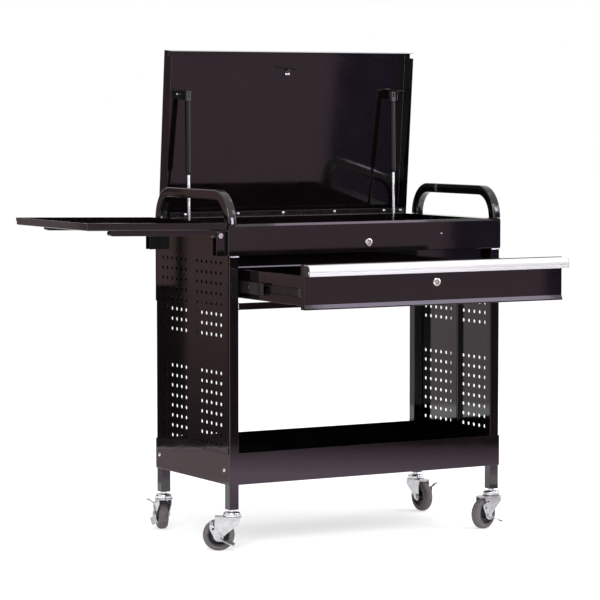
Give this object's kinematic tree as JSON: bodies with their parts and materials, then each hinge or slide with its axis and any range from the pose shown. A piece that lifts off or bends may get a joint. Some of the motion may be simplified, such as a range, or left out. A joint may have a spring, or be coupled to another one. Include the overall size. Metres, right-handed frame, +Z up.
{
  "type": "mobile drawer cabinet",
  "caption": "Open workshop cart on braked swivel casters, with a lidded chest on gas struts, a sliding drawer, perforated sides, an open tray and a fold-down shelf.",
  "frame": {"origin": "centre of the part's footprint at floor level, in the pictured pose with the drawer out, the lid open and the shelf up", "axes": "+X to the right seen from the drawer side, +Y towards the lid's hinge, +Z up; the drawer opens towards -Y"},
  "size_m": [1.139, 0.764, 1.1773],
  "materials": {
    "black_enamel": "gloss powder coat",
    "zinc_plate": "zinc plated",
    "bright_steel": "bright",
    "chrome": "polished",
    "satin_aluminium": "satin anodised",
    "satin_black": "semi-gloss black",
    "tyre_rubber": "matt",
    "hub_plastic": "matt"
  },
  "bodies": {
    "frame": {"lower_tray": "black_enamel", "post_fl": "black_enamel", "post_fr": "black_enamel", "post_rl": "black_enamel", "post_rr": "black_enamel", "side_panel_left": "black_enamel", "side_panel_right": "black_enamel", "chest_box": "black_enamel", "chest_front_panel": "black_enamel", "front_rail": "black_enamel", "handle_left": "black_enamel", "handle_right": "black_enamel", "slide_outer_left": "satin_black", "slide_outer_right": "satin_black", "hinge_chest_leaf": "satin_black", "shelf_bracket_front": "black_enamel", "shelf_bracket_rear": "black_enamel", "shelf_bolt_front": "zinc_plate", "shelf_bolt_rear": "zinc_plate", "caster_cup_fl": "zinc_plate", "caster_cup_fr": "zinc_plate", "caster_cup_rl": "zinc_plate", "caster_cup_rr": "zinc_plate"},
    "slide_middle_left": {"slide_middle_left": "satin_black"},
    "slide_middle_right": {"slide_middle_right": "satin_black"},
    "drawer": {"drawer_box": "black_enamel", "drawer_front": "black_enamel", "drawer_pull": "satin_aluminium", "slide_inner_left": "satin_black", "slide_inner_right": "satin_black"},
    "chest_lock": {"chest_lock": "chrome"},
    "drawer_lock": {"drawer_lock": "chrome"},
    "lid": {"lid": "black_enamel", "hinge_lid_leaf": "satin_black", "lid_striker": "black_enamel", "strut_bracket_left": "black_enamel", "strut_bracket_right": "black_enamel"},
    "strut_rod_left": {"strut_rod_left": "bright_steel"},
    "strut_rod_right": {"strut_rod_right": "bright_steel"},
    "strut_cylinder_left": {"strut_cylinder_left": "satin_black"},
    "strut_cylinder_right": {"strut_cylinder_right": "satin_black"},
    "shelf": {"shelf_tray": "black_enamel", "shelf_arm_front": "black_enamel", "shelf_arm_rear": "black_enamel"},
    "caster_swivel_fl": {"caster_fork_fl": "zinc_plate"},
    "caster_wheel_fl": {"caster_hub_fl": "hub_plastic", "caster_tyre_fl": "tyre_rubber"},
    "caster_brake_fl": {"caster_brake_fl": "zinc_plate"},
    "caster_swivel_fr": {"caster_fork_fr": "zinc_plate"},
    "caster_wheel_fr": {"caster_hub_fr": "hub_plastic", "caster_tyre_fr": "tyre_rubber"},
    "caster_brake_fr": {"caster_brake_fr": "zinc_plate"},
    "caster_swivel_rl": {"caster_fork_rl": "zinc_plate"},
    "caster_wheel_rl": {"caster_hub_rl": "hub_plastic", "caster_tyre_rl": "tyre_rubber"},
    "caster_brake_rl": {"caster_brake_rl": "zinc_plate"},
    "caster_swivel_rr": {"caster_fork_rr": "zinc_plate"},
    "caster_wheel_rr": {"caster_hub_rr": "hub_plastic", "caster_tyre_rr": "tyre_rubber"},
    "caster_brake_rr": {"caster_brake_rr": "zinc_plate"}
  },
  "joints": [
    {"name": "drawer_slide", "type": "slide", "parent": "frame", "child": "drawer", "axis": [0, -1, 0], "range_m": [-0.3035, 0.0265]},
    {"name": "slide_middle_left_run", "type": "slide", "parent": "frame", "child": "slide_middle_left", "axis": [0, -1, 0], "range_m": [-0.153, 0.0145]},
    {"name": "slide_middle_right_run", "type": "slide", "parent": "frame", "child": "slide_middle_right", "axis": [0, -1, 0], "range_m": [-0.153, 0.0145]},
    {"name": "lid_hinge", "type": "hinge", "parent": "frame", "child": "lid", "pos_m": [0.17472, 0.33298, 0.7675], "axis": [1, 0, 0], "range_deg": [0, 85]},
    {"name": "strut_rod_left_swing", "type": "hinge", "parent": "frame", "child": "strut_rod_left", "pos_m": [-0.12028, 0.31348, 0.723], "axis": [1, 0, 0], "range_deg": [0, 81]},
    {"name": "strut_cylinder_left_stroke", "type": "slide", "parent": "strut_rod_left", "child": "strut_cylinder_left", "axis": [0, 0.0143, 0.9999], "range_m": [-0.0605, 0]},
    {"name": "strut_rod_right_swing", "type": "hinge", "parent": "frame", "child": "strut_rod_right", "pos_m": [0.46972, 0.31348, 0.723], "axis": [1, 0, 0], "range_deg": [0, 81]},
    {"name": "strut_cylinder_right_stroke", "type": "slide", "parent": "strut_rod_right", "child": "strut_cylinder_right", "axis": [0, 0.0143, 0.9999], "range_m": [-0.0605, 0]},
    {"name": "shelf_fold", "type": "hinge", "parent": "frame", "child": "shelf", "pos_m": [-0.22208, 0.14398, 0.742], "axis": [0, -1, 0], "range_deg": [0, 91]},
    {"name": "chest_lock_turn", "type": "hinge", "parent": "frame", "child": "chest_lock", "pos_m": [0.17472, -0.05152, 0.718], "axis": [0, -1, 0], "range_deg": [0, 90]},
    {"name": "drawer_lock_turn", "type": "hinge", "parent": "drawer", "child": "drawer_lock", "pos_m": [0.17472, -0.35502, 0.64], "axis": [0, -1, 0], "range_deg": [0, 90]},
    {"name": "swivel_fl", "type": "hinge", "parent": "frame", "child": "caster_swivel_fl", "pos_m": [-0.19098, -0.03752, 0], "axis": [0, 0, 1], "continuous": true},
    {"name": "wheel_fl", "type": "hinge", "parent": "caster_swivel_fl", "child": "caster_wheel_fl", "pos_m": [-0.21791, -0.02216, 0.0375], "axis": [-0.4955, -0.8686, 0], "continuous": true},
    {"name": "brake_fl", "type": "hinge", "parent": "caster_swivel_fl", "child": "caster_brake_fl", "pos_m": [-0.21791, -0.02216, 0.0375], "axis": [0.4955, 0.8686, 0], "range_deg": [0, 12]},
    {"name": "swivel_fr", "type": "hinge", "parent": "frame", "child": "caster_swivel_fr", "pos_m": [0.54042, -0.03752, 0], "axis": [0, 0, 1], "continuous": true},
    {"name": "wheel_fr", "type": "hinge", "parent": "caster_swivel_fr", "child": "caster_wheel_fr", "pos_m": [0.51097, -0.0472, 0.0375], "axis": [0.3123, -0.95, 0], "continuous": true},
    {"name": "brake_fr", "type": "hinge", "parent": "caster_swivel_fr", "child": "caster_brake_fr", "pos_m": [0.51097, -0.0472, 0.0375], "axis": [-0.3123, 0.95, 0], "range_deg": [0, 12]},
    {"name": "swivel_rl", "type": "hinge", "parent": "frame", "child": "caster_swivel_rl", "pos_m": [-0.19098, 0.31548, 0], "axis": [0, 0, 1], "continuous": true},
    {"name": "wheel_rl", "type": "hinge", "parent": "caster_swivel_rl", "child": "caster_wheel_rl", "pos_m": [-0.18207, 0.34517, 0.0375], "axis": [-0.9578, 0.2874, 0], "continuous": true},
    {"name": "brake_rl", "type": "hinge", "parent": "caster_swivel_rl", "child": "caster_brake_rl", "pos_m": [-0.18207, 0.34517, 0.0375], "axis": [0.9578, -0.2874, 0], "range_deg": [0, 12]},
    {"name": "swivel_rr", "type": "hinge", "parent": "frame", "child": "caster_swivel_rr", "pos_m": [0.54042, 0.31548, 0], "axis": [0, 0, 1], "continuous": true},
    {"name": "wheel_rr", "type": "hinge", "parent": "caster_swivel_rr", "child": "caster_wheel_rr", "pos_m": [0.54053, 0.28448, 0.0375], "axis": [1, 0.0035, 0], "continuous": true},
    {"name": "brake_rr", "type": "hinge", "parent": "caster_swivel_rr", "child": "caster_brake_rr", "pos_m": [0.54053, 0.28448, 0.0375], "axis": [-1, -0.0035, 0], "range_deg": [0, 12]}
  ],
  "couplings": [
    {"joint": "slide_middle_left_run", "follows": "drawer_slide", "ratio": 0.5},
    {"joint": "slide_middle_right_run", "follows": "drawer_slide", "ratio": 0.5},
    {"joint": "strut_rod_left_swing", "follows": "lid_hinge", "ratio": 0.92},
    {"joint": "strut_cylinder_left_stroke", "follows": "lid_hinge", "m_per_rad": -0.0372},
    {"joint": "strut_rod_right_swing", "follows": "lid_hinge", "ratio": 0.92},
    {"joint": "strut_cylinder_right_stroke", "follows": "lid_hinge", "m_per_rad": -0.0372}
  ]
}
